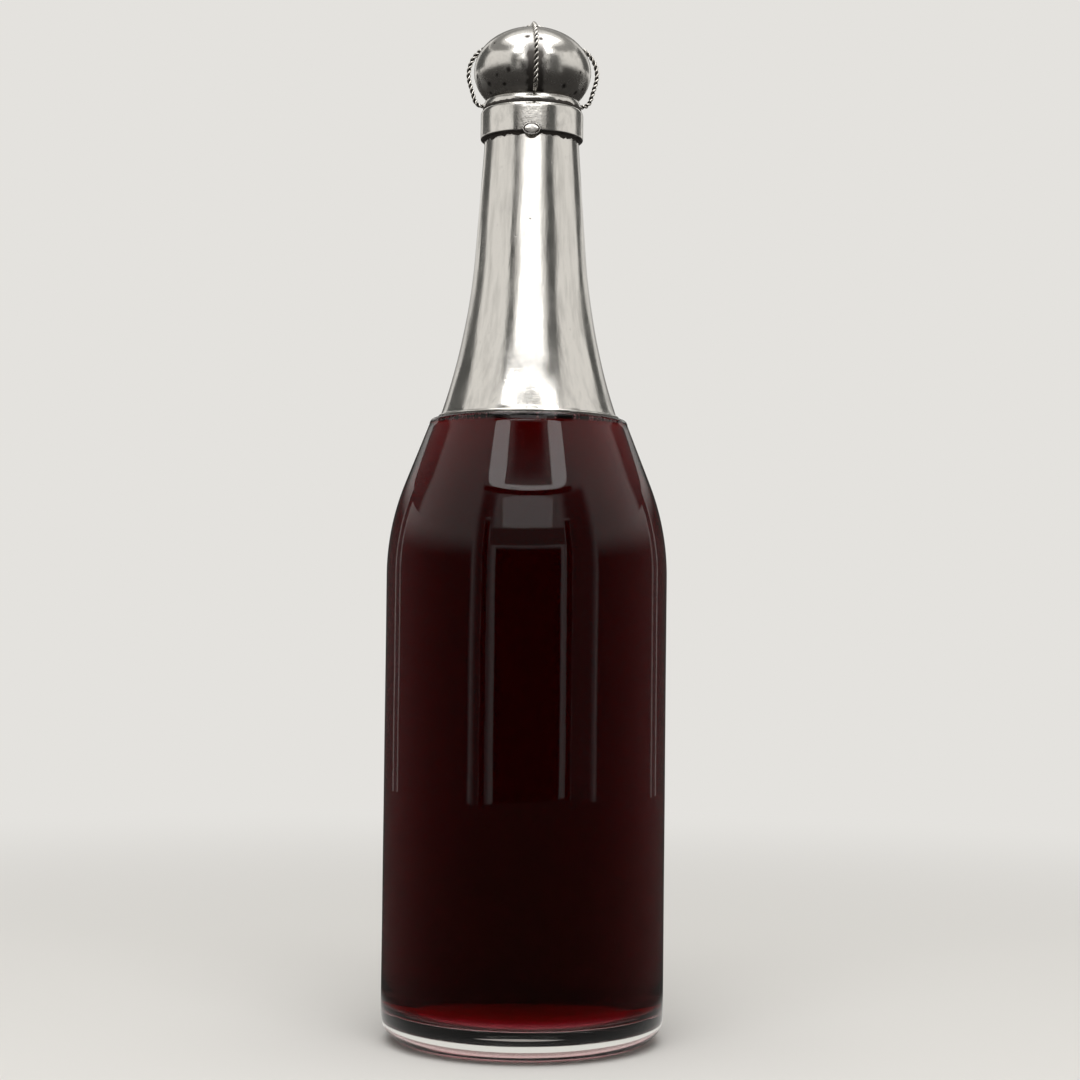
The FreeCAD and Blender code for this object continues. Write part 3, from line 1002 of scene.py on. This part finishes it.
def card(name, start, end, near, far, tone, soft=1.0, foot_fade=0.0, top_fade=0.0):
    """A card curved round the set from one turn to another, between two places given as
    distance and height. It is sprayed paler, to the backdrop's own tone, towards its edges,
    and shows in reflections only."""
    turn = math.radians(start - 90)
    piece = first_point(name, (near[0] * math.cos(turn), near[0] * math.sin(turn), near[1]))
    out = far[0] - near[0]
    up = far[1] - near[1]
    step = (out * math.cos(turn), out * math.sin(turn), up)
    bpy.ops.mesh.extrude_vertices_move(TRANSFORM_OT_translate={"value": step})
    bpy.ops.mesh.select_all(action="SELECT")
    bpy.ops.mesh.spin(steps=48, angle=math.radians(start - end), center=(0, 0, 0), axis=(0, 0, 1))
    bpy.ops.object.mode_set(mode="OBJECT")
    hidden_from(piece, "camera", "diffuse", "transmission", "shadow")

    paper = new_material(name)
    place = add(paper, "TexCoord").outputs["Object"]
    ahead = add(paper, "Mapping",
                {"Vector": place, "Rotation": (0, 0, math.radians(90 - (start + end) / 2))})
    axes = add(paper, "SeparateXYZ", {0: ahead})
    aside = add(paper, "Math", {0: axes.outputs["Y"], 1: axes.outputs["X"]}, operation="ARCTAN2")
    away = add(paper, "Math", {0: aside}, operation="ABSOLUTE")
    half = math.radians((end - start) / 2)
    inked = add(paper, "MapRange",
                {"Value": away, "From Min": half - math.radians(soft), "From Max": half,
                 "To Min": 1.0, "To Max": 0.0}, interpolation_type="SMOOTHSTEP")
    length = math.hypot(out, up)
    level = add(paper, "VectorMath", {0: place, 1: (1, 1, 0)}, operation="MULTIPLY")
    reach = add(paper, "VectorMath", {0: level}, operation="LENGTH").outputs["Value"]
    outward = add(paper, "Math",
                  {0: reach, 1: out / length, 2: -(near[0] * out + near[1] * up) / length},
                  operation="MULTIPLY_ADD")
    along = add(paper, "Math", {0: axes.outputs["Z"], 1: up / length, 2: outward},
                operation="MULTIPLY_ADD")
    for edge, fade in ((0.0, foot_fade), (length, -top_fade)):
        if fade:
            rise = add(paper, "MapRange",
                       {"Value": along, "From Min": edge, "From Max": edge + fade},
                       interpolation_type="SMOOTHSTEP")
            inked = add(paper, "Math", {0: inked, 1: rise}, operation="MULTIPLY")
    colour = add(paper, "Mix", {0: inked, 6: linear(pale), 7: linear(tone)}, data_type="RGBA")
    face = add(paper, "Emission", {"Color": colour.outputs[2], "Strength": 1.0})
    add(paper, "OutputMaterial", {"Surface": face})
    piece.data.materials.append(paper)


black = "1E1C1C"
dim = "444240"
grey = "565654"
card("front card", -25, 28, (0.95, 0.0), (0.95, 0.38), black, top_fade=0.04)
card("front panel card", -31, 32, (0.95, 0.38), (0.95, 0.53), "787673", top_fade=0.02)
card("left line card", -36, -31, (0.94, 0.0), (0.94, 0.6), black, soft=0.5, top_fade=0.04)
card("right line card", 32, 37, (0.94, 0.0), (0.94, 0.6), black, soft=0.5, top_fade=0.04)
card("front gap card", -46, 47, (0.96, 0.872), (0.96, 0.942), black, soft=3.0)
card("front boom card", -24, 26, (0.80, 0.865), (0.46, 1.203), black, soft=12.0,
     foot_fade=0.13, top_fade=0.01)
card("left strip card", -45, -26, (0.96, 0.0), (0.96, 0.95), grey, soft=6.0, top_fade=0.12)
card("right strip card", 29, 60, (0.96, 0.0), (0.96, 0.95), grey, soft=8.0, top_fade=0.12)
card("left low card", -124, -43, (0.95, 0.0), (0.95, 0.46), dim, soft=3.0, top_fade=0.2)
card("right low card", 57, 124, (0.95, 0.0), (0.95, 0.46), dim, soft=3.0, top_fade=0.2)
card("left back low card", -181, -131, (0.95, 0.0), (0.95, 0.48), dim, soft=3.0, top_fade=0.15)
card("right back low card", 131, 181, (0.95, 0.0), (0.95, 0.48), dim, soft=3.0, top_fade=0.15)
card("left back card", -150, -104, (0.96, 0.0), (0.96, 1.5), grey, soft=8.0, top_fade=0.4)
card("right back card", 112, 150, (0.96, 0.0), (0.96, 1.5), grey, soft=8.0, top_fade=0.4)
card("rear card", 158, 202, (0.96, 0.0), (0.96, 1.5), "7C7B78", soft=3.0, top_fade=0.4)
card("hood card", 52, 308, (0.96, 1.05), (0.62, 1.25), "8E8D8A", soft=8.0, foot_fade=0.07,
     top_fade=0.07)
# The floor card lies on the paper round the base, unseen by the eye: a dark sheet that paints a
# reflection of shade round the base into the glass and silver.
card("floor shade card", -180, 180, (0.046, 0.002), (0.95, 0.002), dim, soft=0.01, foot_fade=0.06)


# --------------------------------------- camera
# A long lens at the height of the bottle's middle and a few millimetres to its right, tipped up
# a little and rolled by less than a degree.

camera_distance = 689.0
camera_height = 135.0
camera_aside = 4.4
camera_pitch = 2.02
camera_roll = 0.65
camera_lens = 71.33

bpy.ops.object.camera_add(location=(camera_aside * mm, -camera_distance * mm, camera_height * mm),
                          rotation=(math.radians(90 + camera_pitch),
                                    math.radians(-camera_roll), 0))
camera = bpy.context.object
camera.data.lens = camera_lens
camera.data.sensor_width = 36.0
bpy.context.scene.camera = camera
bpy.context.scene.view_settings.view_transform = "Standard"
